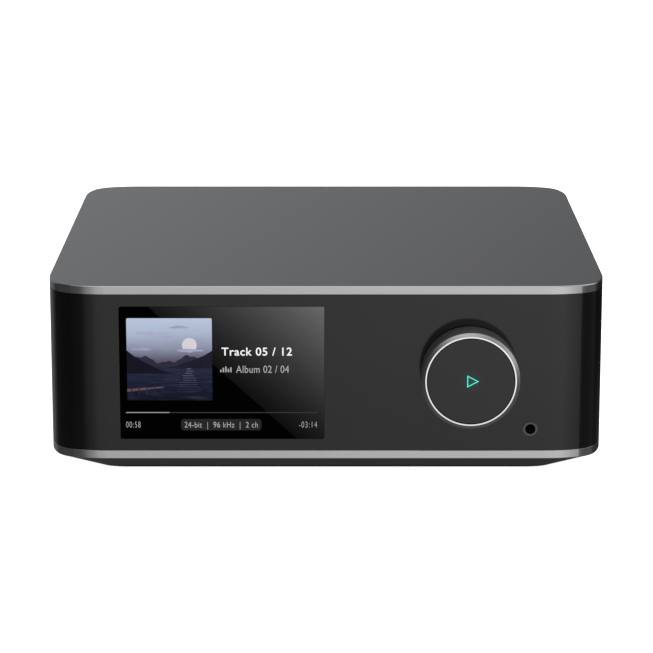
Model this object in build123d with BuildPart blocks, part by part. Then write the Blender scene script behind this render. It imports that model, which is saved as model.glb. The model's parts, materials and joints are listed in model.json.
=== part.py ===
from build123d import *
import os
from math import sin, cos, radians, sqrt

os.makedirs("parts", exist_ok=True)

# ---------------------------------------------------------------------------
# Driving dimensions, millimetres.  +X to the right seen from the front, the
# front faces -Y, +Z up.  The origin is the centre of the footprint, on the
# surface that the foot rests on.
# ---------------------------------------------------------------------------
WIDTH = 205.0             # body width and depth
HEIGHT = 73.0             # overall height with the foot
HALF = WIDTH / 2
R_END, R_MID = 36.0, 11.7  # corner: 20, 50 and 20 degree arcs of these radii
WALL = 2.5                # housing wall

Z_FOOT = 1.5              # visible height of the rubber foot
Z_PAN = 7.8               # top of the tapered base pan
RIM = 3.25                # height of each visible metal rim
Z_FRAME = Z_PAN + RIM     # housing starts here
Z_COVER = HEIGHT - RIM    # housing ends here
FOOT_HALF = 85.5          # half size of the foot where it meets the surface
PAN_HALF = 100.7          # half size of the pan where it meets the frame
PAN_FLOOR = Z_FOOT + 2.2

# display window, on the front face
DISP_X, DISP_Z = -38.14, 40.39
DISP_W, DISP_H = 75.05, 49.9
GLASS_T = 1.2

# rotary control, axis along Y
KNOB_X, KNOB_Z = 52.5, 40.37
KNOB_R = 17.85
KNOB_OUT = 12.77          # how far it stands out of the front face
BEVEL_W, BEVEL_D = 1.27, 0.85
TRIM_W = 0.5              # bright ring beside the bevel
CAP_R = 15.93
CAP_SINK = 0.15
CAP_TRAVEL = 0.6
SKIRT_GAP = 0.8           # between the shell's skirt and the front face
RUN = 0.05                # radial running clearance

# headphone socket, on the front face
PHONE_X, PHONE_Z = 75.16, 19.2
PHONE_R = 1.9             # bore for a 3.5 mm plug
PHONE_BOARD_Z = PHONE_Z - 4.6
JACK_R = 1.8              # bore of the trigger socket, for a 3.5 mm plug

# boards
BOARD_T = 1.6
MAIN_Z = 26.0             # underside of the main board
TOP_Z = MAIN_Z + BOARD_T  # its component side
PSU_Z = 14.0

# rear panel
PANEL_Y = 98.0            # inner face
PANEL_T = 2.0
REAR_Y = PANEL_Y + PANEL_T
OPEN_W, OPEN_H, OPEN_Z = 164.0, 38.0, 40.4

# rear sockets (x, z of each)
INLET = (-66.0, 33.0)
TRIGGER = (-49.5, 31.2)
LAN_X = -35.0
USB_X = -17.0
HDMI_X = 0.5
OPT_X = (15.0, 27.0)      # optical out, optical in
RCA_X = (41.0, 54.5, 68.0)
RCA_Z = (34.0, 50.0)
GROUND = (77.2, 42.0)
PAIR = (-9.0, 50.0)

POST = 80.0               # corner posts of the housing, x and y
COVER_LUGS = [(x, y) for x in (-93.0, 93.0) for y in (-50.0, 50.0)]


def front(y):
    """Plane whose sketch axes are world X and Z and whose normal is -Y."""
    return Plane(origin=(0, y, 0), x_dir=(1, 0, 0), z_dir=(0, -1, 0))


def soft_square(half, r_end, r_mid):
    """Square profile whose corners are three tangent arcs."""
    s, c = sin(radians(20)), cos(radians(20))
    e = half - r_end + (r_end - r_mid) * (c - s)
    with BuildSketch() as profile:
        with BuildLine():
            for k in range(4):
                turn = 90 * k
                a = Vector(half - r_end, e).rotate(Axis.Z, turn)
                b = Vector(half - r_end + (r_end - r_mid) * c,
                           e + (r_end - r_mid) * s).rotate(Axis.Z, turn)
                d = Vector(e, half - r_end).rotate(Axis.Z, turn)
                CenterArc(a, r_end, turn, 20)
                CenterArc(b, r_mid, turn + 20, 50)
                CenterArc(d, r_end, turn + 70, 20)
                Line(Vector(e, half).rotate(Axis.Z, turn),
                     Vector(-e, half).rotate(Axis.Z, turn))
        make_face()
    return profile.sketch


def body_profile(inset):
    return soft_square(HALF - inset, R_END - inset, R_MID - inset)


def pan_profile(z, inset=0.0):
    """Outline of the tapered base at height z."""
    t = z / Z_PAN
    half = FOOT_HALF + (PAN_HALF - FOOT_HALF) * t
    return soft_square(half - inset, 18 + 8 * t - inset, 6 + 2 * t - inset * 0.5)


def pan_screw(head_r, head_h, shank_r, length):
    """Pan-head screw along Z: head above z = 0, shank below it."""
    with BuildPart() as screw:
        with BuildSketch():
            Circle(head_r)
        extrude(amount=head_h)
        fillet(screw.edges().group_by(Axis.Z)[-1], radius=head_h * 0.35)
        with BuildSketch(Plane.XY):
            Circle(shank_r)
        extrude(amount=-length)
        chamfer(screw.edges().group_by(Axis.Z)[0], length=shank_r * 0.3)
        with BuildSketch(Plane.XY.offset(head_h)):
            Rectangle(head_r * 1.1, head_r * 0.26)
            Rectangle(head_r * 0.26, head_r * 1.1)
        extrude(amount=-head_h * 0.65, mode=Mode.SUBTRACT)
    return screw.part


TO_UP = (0, 0, 0)         # screw head towards +Z
TO_DOWN = (180, 0, 0)     # screw head towards -Z
TO_REAR = (-90, 0, 0)     # screw head towards +Y
TO_FRONT = (90, 0, 0)     # screw head towards -Y


def save(builder, name):
    builder.part.label = name
    export_step(builder.part, f"parts/{name}.step")


# ---------------------------------------------------------------------------
# Casing
# ---------------------------------------------------------------------------
# top cover: plate, visible rim, locating lip and four bosses
with BuildPart() as top_cover:
    with BuildSketch(Plane.XY.offset(Z_COVER)):
        add(body_profile(0))
    extrude(amount=RIM)
    fillet(top_cover.edges().group_by(Axis.Z)[-1], radius=0.5)
    chamfer(top_cover.edges().group_by(Axis.Z)[0], length=0.15)
    with BuildSketch(Plane.XY.offset(Z_COVER)):
        add(body_profile(3.0))
    extrude(amount=RIM - 1.75, mode=Mode.SUBTRACT)
    with BuildSketch(Plane.XY.offset(Z_COVER - 2.0)):
        add(body_profile(2.6))
        add(body_profile(4.2), mode=Mode.SUBTRACT)
        with Locations((0, -HALF)):
            Rectangle(2.2 * HALF, 64, mode=Mode.SUBTRACT)
    extrude(amount=RIM + 0.25)
    with BuildSketch(Plane.XY.offset(60.0)):
        with Locations(*COVER_LUGS):
            Circle(3.8)
    extrude(amount=HEIGHT - 1.75 - 60.0)
    with BuildSketch(Plane.XY.offset(60.0)):
        with Locations(*COVER_LUGS):
            Circle(1.25)
    extrude(amount=8.0, mode=Mode.SUBTRACT)
save(top_cover, "top_cover")

# main housing: the glossy wrap round all four sides
with BuildPart() as main_housing:
    with BuildSketch(Plane.XY.offset(Z_FRAME)):
        add(body_profile(0))
        add(body_profile(WALL), mode=Mode.SUBTRACT)
    extrude(amount=Z_COVER - Z_FRAME)
    # corner posts with their diagonal ribs
    with BuildSketch(Plane.XY.offset(Z_FRAME)):
        with PolarLocations(POST * sqrt(2), 4, start_angle=45):
            Circle(4.0)
        with PolarLocations(POST * sqrt(2) + 12.0, 4, start_angle=45):
            Rectangle(23.0, 2.4)
    extrude(amount=30.0)
    with BuildSketch(Plane.XY.offset(Z_FRAME)):
        with PolarLocations(POST * sqrt(2), 4, start_angle=45):
            Circle(1.25)
    extrude(amount=14.0, mode=Mode.SUBTRACT)
    # side lugs that the cover screws pull up against
    for side in (-1, 1):
        for y in (-50.0, 50.0):
            with BuildSketch(Plane.XY.offset(57.0)):
                with Locations((side * 93.6, y)):
                    Rectangle(13.6, 12.0)
            extrude(amount=3.0)
    with BuildSketch(Plane.XY.offset(57.0)):
        with Locations(*COVER_LUGS):
            Circle(1.7)
    extrude(amount=3.0, mode=Mode.SUBTRACT)
    # posts behind the front wall for the display bracket and the control
    with BuildSketch(front(-HALF + WALL - 0.3)):
        with Locations((DISP_X, DISP_Z)):
            with GridLocations(90.0, 44.0, 2, 2):
                Circle(2.8)
    extrude(amount=-3.1)
    with BuildSketch(front(-HALF + WALL - 0.3)):
        with Locations((KNOB_X, KNOB_Z)):
            with GridLocations(30.0, 30.0, 2, 2):
                Circle(3.0)
    extrude(amount=-7.8)
    with BuildSketch(front(-97.2)):
        with Locations((DISP_X, DISP_Z)):
            with GridLocations(90.0, 44.0, 2, 2):
                Circle(0.9)
    extrude(amount=2.9, mode=Mode.SUBTRACT)
    with BuildSketch(front(-92.5)):
        with Locations((KNOB_X, KNOB_Z)):
            with GridLocations(30.0, 30.0, 2, 2):
                Circle(1.1)
    extrude(amount=7.0, mode=Mode.SUBTRACT)
    # ledges that carry the headphone board
    with BuildSketch(Plane.XY.offset(Z_FRAME)):
        with Locations((64.0, -94.2), (82.6, -94.2)):
            Rectangle(4.4, 12.2)
    extrude(amount=PHONE_BOARD_Z - Z_FRAME)
    # flat seat for the rear panel and blind holes for its screws
    with BuildSketch(front(REAR_Y)):
        with Locations((0, OPEN_Z)):
            Rectangle(175.4, 44.2)
    extrude(amount=1.5, mode=Mode.SUBTRACT)
    with BuildSketch(front(REAR_Y - 0.2)):
        with Locations((-84.5, 26.0), (84.5, 26.0), (-84.5, 55.0), (84.5, 55.0)):
            Circle(1.1)
    extrude(amount=-1.9, mode=Mode.SUBTRACT)
    # display pocket and window
    with BuildSketch(front(-HALF)):
        with Locations((DISP_X, DISP_Z)):
            RectangleRounded(DISP_W + 0.1, DISP_H + 0.1, 0.8)
    extrude(amount=-GLASS_T, mode=Mode.SUBTRACT)
    with BuildSketch(front(-HALF)):
        with Locations((DISP_X, DISP_Z)):
            Rectangle(72.8, 47.3)
    extrude(amount=-WALL - 0.5, mode=Mode.SUBTRACT)
    # bores of the control and of the headphone socket
    with BuildSketch(front(-HALF - 0.5)):
        with Locations((KNOB_X, KNOB_Z)):
            Circle(11.35)
        with Locations((PHONE_X, PHONE_Z)):
            Circle(2.3)
    extrude(amount=-WALL - 1.0, mode=Mode.SUBTRACT)
    # counterbore for the flange of the headphone socket's ring
    with BuildSketch(front(-HALF)):
        with Locations((PHONE_X, PHONE_Z)):
            Circle(2.92)
    extrude(amount=-0.6, mode=Mode.SUBTRACT)
    # rear opening
    with BuildSketch(front(HALF + 0.5)):
        with Locations((0, OPEN_Z)):
            RectangleRounded(OPEN_W, OPEN_H, 3.0)
    extrude(amount=WALL + 1.5, mode=Mode.SUBTRACT)
save(main_housing, "main_housing")

# bottom frame: the lower metal rim, clamped between housing and pan
with BuildPart() as bottom_frame:
    with BuildSketch(Plane.XY.offset(Z_PAN)):
        add(body_profile(0))
    extrude(amount=RIM)
    chamfer(bottom_frame.edges().group_by(Axis.Z)[0], length=0.3)
    chamfer(bottom_frame.edges().group_by(Axis.Z)[-1], length=0.15)
    with BuildSketch(Plane.XY.offset(Z_PAN)):
        add(body_profile(4.5))
    extrude(amount=RIM, mode=Mode.SUBTRACT)
save(bottom_frame, "bottom_frame")

# base pan: tapered tray with air slots, screw towers and recessed screw seats
with BuildPart() as base_pan:
    with BuildSketch(Plane.XY.offset(Z_FOOT)):
        add(pan_profile(Z_FOOT))
    with BuildSketch(Plane.XY.offset(Z_PAN)):
        add(pan_profile(Z_PAN))
    loft(ruled=True)
    with BuildSketch(Plane.XY.offset(PAN_FLOOR)):
        add(pan_profile(PAN_FLOOR, 2.6))
    with BuildSketch(Plane.XY.offset(Z_PAN)):
        add(pan_profile(Z_PAN, 2.6))
    loft(ruled=True, mode=Mode.SUBTRACT)
    with BuildSketch(Plane.XY.offset(PAN_FLOOR - 0.5)):
        with GridLocations(2 * POST, 2 * POST, 2, 2):
            Circle(5.0)
    extrude(amount=Z_FRAME - PAN_FLOOR + 0.5)
    with BuildSketch(Plane.XY.offset(Z_FOOT)):
        with GridLocations(2 * POST, 2 * POST, 2, 2):
            Circle(1.7)
    extrude(amount=Z_FRAME - Z_FOOT, mode=Mode.SUBTRACT)
    with BuildSketch(Plane.XY.offset(Z_FOOT)):
        with GridLocations(2 * POST, 2 * POST, 2, 2):
            Circle(3.2)
    extrude(amount=3.5, mode=Mode.SUBTRACT)
    with BuildSketch(Plane.XY.offset(Z_FOOT - 0.5)):
        with Locations((-29.0, 22.0), (36.0, 22.0)):
            with GridLocations(0.0, 7.0, 1, 11):
                SlotOverall(44.0, 2.4)
    extrude(amount=3.5, mode=Mode.SUBTRACT)
save(base_pan, "base_pan")

# rubber foot: one closed band that continues the taper to the surface
with BuildPart() as rubber_foot:
    with BuildSketch(Plane.XY):
        add(pan_profile(0))
    with BuildSketch(Plane.XY.offset(Z_FOOT)):
        add(pan_profile(Z_FOOT))
    loft(ruled=True)
    with BuildSketch(Plane.XY):
        add(soft_square(FOOT_HALF - 11.0, 14.0, 5.0))
    extrude(amount=Z_FOOT, mode=Mode.SUBTRACT)
    # shallow groove along the middle of the band
    with BuildSketch(Plane.XY):
        add(soft_square(FOOT_HALF - 4.4, 16.0, 5.5))
        add(soft_square(FOOT_HALF - 6.4, 14.0, 5.0), mode=Mode.SUBTRACT)
    extrude(amount=0.5, mode=Mode.SUBTRACT)
save(rubber_foot, "rubber_foot")

# rear panel: plate behind the rear opening, cut for every socket
with BuildPart() as rear_panel:
    with BuildSketch(front(PANEL_Y)):
        with Locations((0, OPEN_Z)):
            RectangleRounded(175.2, 44.0, 3.0)
    extrude(amount=-PANEL_T)
    with BuildSketch(front(PANEL_Y)):
        with Locations((PAIR[0] - 7.5, PAIR[1]), (PAIR[0] + 7.5, PAIR[1])):
            Circle(2.0)
    extrude(amount=8.4)
    with BuildSketch(front(PANEL_Y - 9.0)):
        with Locations((PAIR[0] - 7.5, PAIR[1]), (PAIR[0] + 7.5, PAIR[1])):
            Circle(0.85)
    extrude(amount=-6.5, mode=Mode.SUBTRACT)
    with BuildSketch(front(PANEL_Y - 0.5)):
        with Locations((-84.5, 26.0), (84.5, 26.0), (-84.5, 55.0), (84.5, 55.0)):
            Circle(1.4)
        with Locations(INLET):
            RectangleRounded(21.0, 11.4, 2.0)
        with Locations(TRIGGER):
            Circle(3.1)
        with Locations((LAN_X, TOP_Z + 6.75)):
            Rectangle(16.2, 13.7)
        with Locations((USB_X, TOP_Z + 3.5)):
            Rectangle(14.0, 6.6)
        with Locations((HDMI_X, TOP_Z + 3.15)):
            Rectangle(15.6, 6.5)
        for x in OPT_X:
            with Locations((x, TOP_Z + 5.7)):
                Rectangle(10.2, 11.6)
        for x in RCA_X:
            for z in RCA_Z:
                with Locations((x, z)):
                    Circle(4.25)
            with Locations((x, 42.0)):
                Circle(1.5)
        with Locations(GROUND):
            Circle(2.0)
        with Locations(PAIR):
            Circle(2.5)
    extrude(amount=-PANEL_T - 1.0, mode=Mode.SUBTRACT)
save(rear_panel, "rear_panel")

# ---------------------------------------------------------------------------
# Display
# ---------------------------------------------------------------------------
with BuildPart() as display_glass:
    with BuildSketch(front(-HALF)):
        with Locations((DISP_X, DISP_Z)):
            RectangleRounded(DISP_W, DISP_H, 0.75)
    extrude(amount=-GLASS_T)
    chamfer(display_glass.edges().group_by(Axis.Y)[0], length=0.05)
save(display_glass, "display_glass")

with BuildPart() as display_module:
    with BuildSketch(front(-HALF + GLASS_T)):
        with Locations((DISP_X, DISP_Z)):
            Rectangle(72.4, 46.9)
    extrude(amount=-(WALL - GLASS_T))
    with BuildSketch(front(-HALF + WALL)):
        with Locations((DISP_X, DISP_Z)):
            RectangleRounded(80.0, 52.0, 1.0)
    extrude(amount=-2.8)
save(display_module, "display_module")

# sheet bracket that clamps the module, with a slot for its ribbon
with BuildPart() as display_bracket:
    with BuildSketch(front(-97.2)):
        with Locations((DISP_X, DISP_Z)):
            RectangleRounded(97.0, 50.0, 3.0)
            Rectangle(60.0, 24.0, mode=Mode.SUBTRACT)
            with GridLocations(90.0, 44.0, 2, 2):
                Circle(1.1, mode=Mode.SUBTRACT)
        with Locations((DISP_X, 20.9)):
            Rectangle(24.0, 4.0, mode=Mode.SUBTRACT)
    extrude(amount=-1.0)
save(display_bracket, "display_bracket")

with BuildPart() as display_ribbon:
    with BuildSketch(Plane(origin=(DISP_X - 10.0, 0, 0), x_dir=(0, 1, 0), z_dir=(1, 0, 0))):
        with BuildLine():
            Polyline((-97.2, 20.7), (-82.0, 20.7), (-62.0, 29.2), (-26.0, 29.2),
                     (-26.0, 29.5), (-62.1, 29.5), (-82.1, 21.0), (-97.2, 21.0), close=True)
        make_face()
    extrude(amount=20.0)
save(display_ribbon, "display_ribbon")

# ---------------------------------------------------------------------------
# Rotary control with its press cap
# ---------------------------------------------------------------------------
FACE_Y = -HALF - KNOB_OUT              # front of the bevel and trim ring
KNOB_PLANE = Plane(origin=(KNOB_X, 0, KNOB_Z), x_dir=(1, 0, 0), z_dir=(0, 0, 1))
KNOB_AXIS = Axis((KNOB_X, 0, KNOB_Z), (0, 1, 0))
R_SEAT = KNOB_R - BEVEL_W              # outside of the trim ring
R_WALL = R_SEAT - TRIM_W               # inside of the trim ring
WEB_Y = FACE_Y + CAP_SINK + 1.6 + CAP_TRAVEL + 0.32

# turning shell: skirt, bevel, web and hub; the hub runs through the front wall
with BuildPart() as knob_shell:
    with BuildSketch(KNOB_PLANE):
        with BuildLine():
            Polyline((8.0 + RUN, WEB_Y), (R_WALL, WEB_Y), (R_WALL, FACE_Y + 1.2),
                     (R_SEAT, FACE_Y + 1.2), (R_SEAT, FACE_Y),
                     (KNOB_R, FACE_Y + BEVEL_D), (KNOB_R, -HALF - SKIRT_GAP),
                     (KNOB_R - 2.2, -HALF - SKIRT_GAP), (KNOB_R - 2.2, WEB_Y + 2.0),
                     (11.0, WEB_Y + 2.0), (11.0, -99.0), (10.0, -99.0),
                     (10.0, -96.5), (8.0 + RUN, -96.5), close=True)
        make_face()
    revolve(axis=KNOB_AXIS, revolution_arc=360)
save(knob_shell, "knob_shell")

with BuildPart() as knob_trim_ring:
    with BuildSketch(KNOB_PLANE):
        with Locations((R_WALL + TRIM_W / 2, FACE_Y + 0.6)):
            Rectangle(TRIM_W, 1.2)
    revolve(axis=KNOB_AXIS, revolution_arc=360)
save(knob_trim_ring, "knob_trim_ring")

# slotted wheel on the hub's inner end, held by a nut
with BuildPart() as code_wheel:
    with BuildSketch(front(-99.0)):
        with Locations((KNOB_X, KNOB_Z)):
            Circle(14.5)
            Circle(10.0, mode=Mode.SUBTRACT)
            with PolarLocations(12.6, 24):
                Rectangle(2.2, 1.2, mode=Mode.SUBTRACT)
    extrude(amount=-1.2)
save(code_wheel, "code_wheel")

with BuildPart() as hub_nut:
    with BuildSketch(front(-97.8)):
        with Locations((KNOB_X, KNOB_Z)):
            RegularPolygon(12.4, 6)
            Circle(10.0, mode=Mode.SUBTRACT)
    extrude(amount=-1.2)
save(hub_nut, "hub_nut")

# fixed hollow spindle that the shell turns on
with BuildPart() as knob_spindle:
    with BuildSketch(KNOB_PLANE):
        with BuildLine():
            Polyline((5.0 + RUN, -111.9), (8.0, -111.9), (8.0, -94.5), (12.0, -94.5),
                     (12.0, -92.5), (6.5, -92.5), (6.5, -91.0), (5.0 + RUN, -91.0), close=True)
        make_face()
    revolve(axis=KNOB_AXIS, revolution_arc=360)
save(knob_spindle, "knob_spindle")

# press cap: face disc and hollow stem that slides in the spindle
CAP_Y = FACE_Y + CAP_SINK
ICON = [(-1.4, 2.28), (-1.4, -2.28), (2.87, 0.0)]
ICON_IN = [(-0.03 + 0.74 * (x + 0.03), 0.74 * z) for x, z in ICON]
with BuildPart() as knob_cap:
    with BuildSketch(KNOB_PLANE):
        with BuildLine():
            Polyline((0, CAP_Y), (CAP_R - 0.2, CAP_Y), (CAP_R, CAP_Y + 0.2), (CAP_R, CAP_Y + 1.6),
                     (5.0, CAP_Y + 1.6), (5.0, -92.0), (2.2, -92.0), (2.2, CAP_Y + 1.0),
                     (0, CAP_Y + 1.0), close=True)
        make_face()
    revolve(axis=KNOB_AXIS, revolution_arc=360)
    with BuildSketch(front(CAP_Y)):
        with Locations((KNOB_X, KNOB_Z)):
            Polygon(*ICON, align=None)
            Polygon(*ICON_IN, align=None, mode=Mode.SUBTRACT)
    extrude(amount=-0.5, mode=Mode.SUBTRACT)
save(knob_cap, "knob_cap")

# lit outline triangle let into the cap
with BuildPart() as play_icon:
    with BuildSketch(front(CAP_Y)):
        with Locations((KNOB_X, KNOB_Z)):
            Polygon(*ICON, align=None)
            Polygon(*ICON_IN, align=None, mode=Mode.SUBTRACT)
    extrude(amount=-0.5)
save(play_icon, "play_icon")

with BuildPart() as knob_bracket:
    with BuildSketch(front(-92.5)):
        with Locations((KNOB_X, KNOB_Z)):
            RectangleRounded(38.0, 38.0, 5.5)
            Circle(6.5, mode=Mode.SUBTRACT)
            with GridLocations(30.0, 30.0, 2, 2):
                Circle(1.4, mode=Mode.SUBTRACT)
    extrude(amount=-1.5)
save(knob_bracket, "knob_bracket")

with BuildPart() as wheel_sensor:
    with BuildSketch(front(-92.5)):
        with Locations((KNOB_X, KNOB_Z - 15.0)):
            Rectangle(7.0, 5.0)
    extrude(amount=4.6)
    chamfer(wheel_sensor.edges().group_by(Axis.Y)[0], length=0.4)
save(wheel_sensor, "wheel_sensor")

with BuildPart() as knob_spacers:
    with BuildSketch(front(-91.0)):
        with Locations((KNOB_X, KNOB_Z)):
            with GridLocations(30.0, 30.0, 2, 2):
                Circle(2.5)
                Circle(1.4, mode=Mode.SUBTRACT)
    extrude(amount=-4.0)
save(knob_spacers, "knob_spacers")

with BuildPart() as knob_board:
    with BuildSketch(front(-87.0)):
        with Locations((KNOB_X, KNOB_Z)):
            RectangleRounded(38.0, 38.0, 5.5)
            with GridLocations(30.0, 30.0, 2, 2):
                Circle(1.4, mode=Mode.SUBTRACT)
    extrude(amount=-BOARD_T)
save(knob_board, "knob_board")

# switches behind the press cap and behind the rear button
with BuildPart() as press_switches:
    with BuildSketch(front(-87.0)):
        with Locations((KNOB_X, KNOB_Z)):
            Rectangle(6.2, 6.2)
    extrude(amount=3.4)
    with BuildSketch(front(-87.0)):
        with Locations((KNOB_X, KNOB_Z)):
            Circle(1.75)
    extrude(amount=4.0)
    with BuildSketch(front(89.6)):
        with Locations(PAIR):
            Rectangle(6.2, 6.2)
    extrude(amount=-3.8)
    with BuildSketch(front(89.6)):
        with Locations(PAIR):
            Circle(1.7)
    extrude(amount=-5.3)
save(press_switches, "press_switches")

# ---------------------------------------------------------------------------
# Headphone socket
# ---------------------------------------------------------------------------
with BuildPart() as headphone_ring:
    with BuildSketch(front(-HALF + 0.6)):
        with Locations((PHONE_X, PHONE_Z)):
            Circle(2.75)
            Circle(PHONE_R, mode=Mode.SUBTRACT)
    extrude(amount=0.8)
    with BuildSketch(front(-HALF)):
        with Locations((PHONE_X, PHONE_Z)):
            Circle(2.3)
            Circle(PHONE_R, mode=Mode.SUBTRACT)
    extrude(amount=-WALL)
save(headphone_ring, "headphone_ring")

with BuildPart() as headphone_socket:
    with BuildSketch(front(-HALF + WALL)):
        with Locations((PHONE_X, PHONE_Z)):
            Rectangle(11.0, 6.0)
    extrude(amount=-14.0)
    with BuildSketch(front(-HALF + WALL)):
        with Locations((PHONE_X, PHONE_Z)):
            Circle(PHONE_R)
    extrude(amount=-12.0, mode=Mode.SUBTRACT)
save(headphone_socket, "headphone_socket")

with BuildPart() as headphone_board:
    with BuildSketch(Plane.XY.offset(PHONE_BOARD_Z)):
        with Locations((73.0, -92.8)):
            Rectangle(22.0, 13.2)
        with Locations((64.0, -90.5), (82.4, -90.5)):
            Circle(1.0, mode=Mode.SUBTRACT)
    extrude(amount=BOARD_T)
save(headphone_board, "headphone_board")

# ---------------------------------------------------------------------------
# Main board
# ---------------------------------------------------------------------------
MAIN_HOLES = [(-49.0, -8.0), (70.0, -24.0), (-49.0, 74.0), (70.0, 74.0)]
with BuildPart() as main_board:
    with BuildSketch(Plane.XY.offset(MAIN_Z)):
        with Locations((10.4, 33.5)):
            Rectangle(128.8, 127.0)
        with Locations(*MAIN_HOLES):
            Circle(1.6, mode=Mode.SUBTRACT)
    extrude(amount=BOARD_T)
save(main_board, "main_board")

PSU_HOLES = [(x, y) for x in (-85.5, -61.0) for y in (-62.0, 58.0)]
# threaded standoffs: four tall ones under the main board, four short ones under
# the power supply board
with BuildPart() as board_standoffs:
    with BuildSketch(Plane.XY.offset(PAN_FLOOR)):
        with Locations(*MAIN_HOLES):
            Circle(3.0)
            Circle(1.25, mode=Mode.SUBTRACT)
    extrude(amount=MAIN_Z - PAN_FLOOR)
    with BuildSketch(Plane.XY.offset(PAN_FLOOR)):
        with Locations(*PSU_HOLES):
            Circle(3.0)
            Circle(1.25, mode=Mode.SUBTRACT)
    extrude(amount=PSU_Z - PAN_FLOOR)
save(board_standoffs, "board_standoffs")

with BuildPart() as processor_heat_sink:
    with BuildSketch(Plane.XY.offset(TOP_Z + 1.4)):
        with Locations((10.0, 20.0)):
            Rectangle(44.0, 40.0)
    extrude(amount=3.0)
    with BuildSketch(Plane.XY.offset(TOP_Z + 4.4)):
        with Locations((10.0, 20.0)):
            with GridLocations(5.3, 0, 9, 1):
                Rectangle(1.3, 40.0)
    extrude(amount=9.0)
save(processor_heat_sink, "processor_heat_sink")

with BuildPart() as board_chips:
    for x, y, w, d, h in ((10, 20, 20, 20, 1.4), (-28, 34, 14, 12, 1.3), (-28, 10, 30, 22, 3.4),
                          (50, 42, 9, 9, 1.2), (52, 22, 6, 8, 1.6), (30, 60, 12, 8, 1.6),
                          (-8, 62, 10, 10, 1.2), (-38.2, -24.5, 24, 5, 1.5)):
        with BuildSketch(Plane.XY.offset(TOP_Z)):
            with Locations((x, y)):
                Rectangle(w, d)
        extrude(amount=h)
save(board_chips, "board_chips")

with BuildPart() as board_capacitors:
    with BuildSketch(Plane.XY.offset(TOP_Z)):
        with Locations((44, 68), (52, 68), (60, 68), (44, 56), (60, 56), (64, 30), (64, 12), (-40, 56)):
            Circle(3.15)
    extrude(amount=7.7)
    fillet(board_capacitors.edges().group_by(Axis.Z)[-1], radius=0.4)
save(board_capacitors, "board_capacitors")

# ---------------------------------------------------------------------------
# Power supply
# ---------------------------------------------------------------------------
with BuildPart() as psu_board:
    with BuildSketch(Plane.XY.offset(PSU_Z)):
        with Locations((-76.5, 1.0)):
            Rectangle(39.0, 140.0)
        with Locations(*PSU_HOLES):
            Circle(1.6, mode=Mode.SUBTRACT)
    extrude(amount=BOARD_T)
save(psu_board, "psu_board")

PSU_TOP = PSU_Z + BOARD_T
with BuildPart() as psu_transformer:
    with BuildSketch(Plane.XY.offset(PSU_TOP)):
        with Locations((-77.0, -2.0)):
            Rectangle(33.0, 28.0)
    extrude(amount=4.0)
    with BuildSketch(Plane.XY.offset(PSU_TOP + 4.0)):
        with Locations((-77.0, -2.0)):
            Rectangle(32.0, 12.0)
            RectangleRounded(22.0, 26.0, 5.0)
    extrude(amount=19.0)
    with BuildSketch(Plane.XY.offset(PSU_TOP + 23.0)):
        with Locations((-77.0, -2.0)):
            Rectangle(32.0, 12.0)
    extrude(amount=4.0)
save(psu_transformer, "psu_transformer")

with BuildPart() as psu_capacitors:
    with BuildSketch(Plane.XY.offset(PSU_TOP)):
        with Locations((-82.0, 38.0)):
            Circle(9.0)
    extrude(amount=28.0)
    with BuildSketch(Plane.XY.offset(PSU_TOP)):
        with Locations((-88.0, -34.0), (-75.0, -34.0), (-81.0, -48.0)):
            Circle(5.0)
    extrude(amount=20.0)
save(psu_capacitors, "psu_capacitors")

with BuildPart() as psu_heat_sink:
    with BuildSketch(Plane.XY.offset(PSU_TOP)):
        with Locations((-61.5, 34.0)):
            Rectangle(3.0, 38.0)
            with GridLocations(0, 8.0, 1, 5):
                Rectangle(7.0, 1.4)
    extrude(amount=24.0)
save(psu_heat_sink, "psu_heat_sink")

# wiring of the supply: one bundle to the main board and two leads to the inlet
IX, IZ = INLET
with BuildPart() as supply_wiring:
    with BuildLine() as harness_path:
        FilletPolyline((-62.0, -50.0, PSU_TOP), (-62.0, -50.0, 36.0), (-46.0, -17.0, 36.0),
                       (-46.0, -17.0, TOP_Z), radius=5.0)
    with BuildSketch(Plane(origin=(-62.0, -50.0, PSU_TOP), z_dir=(0, 0, 1))):
        Circle(1.8)
    sweep(path=harness_path.line)
    for dx in (-4.3, 4.3):
        with BuildLine() as lead_path:
            FilletPolyline((IX + dx, 80.0, IZ), (IX + dx, 66.0, IZ), (IX + dx, 66.0, PSU_TOP),
                           radius=6.0)
        with BuildSketch(Plane(origin=(IX + dx, 80.0, IZ), z_dir=(0, -1, 0))):
            Circle(1.1)
        sweep(path=lead_path.line)
save(supply_wiring, "supply_wiring")

# two-pole mains inlet: flange, body and figure-eight well
with BuildPart() as power_inlet:
    with BuildSketch(front(REAR_Y)):
        with Locations(INLET):
            RectangleRounded(26.0, 14.4, 3.0)
    extrude(amount=-1.5)
    fillet(power_inlet.edges().group_by(Axis.Y)[-1], radius=0.5)
    with BuildSketch(front(84.0)):
        with Locations(INLET):
            RectangleRounded(20.6, 11.0, 2.0)
    extrude(amount=-(REAR_Y - 84.0))
    with BuildSketch(front(89.5)):
        with Locations((IX - 3.4, IZ), (IX + 3.4, IZ)):
            Circle(4.1)
    extrude(amount=-13.0, mode=Mode.SUBTRACT)
save(power_inlet, "power_inlet")

with BuildPart() as inlet_pins:
    with BuildSketch(front(80.0)):
        with Locations((IX - 4.3, IZ), (IX + 4.3, IZ)):
            Rectangle(2.4, 0.8)
    extrude(amount=-4.0)
    with BuildSketch(front(89.5)):
        with Locations((IX - 4.3, IZ), (IX + 4.3, IZ)):
            Circle(1.18)
    extrude(amount=-9.6)
    fillet(inlet_pins.edges().group_by(Axis.Y)[-1], radius=0.6)
save(inlet_pins, "inlet_pins")

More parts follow.
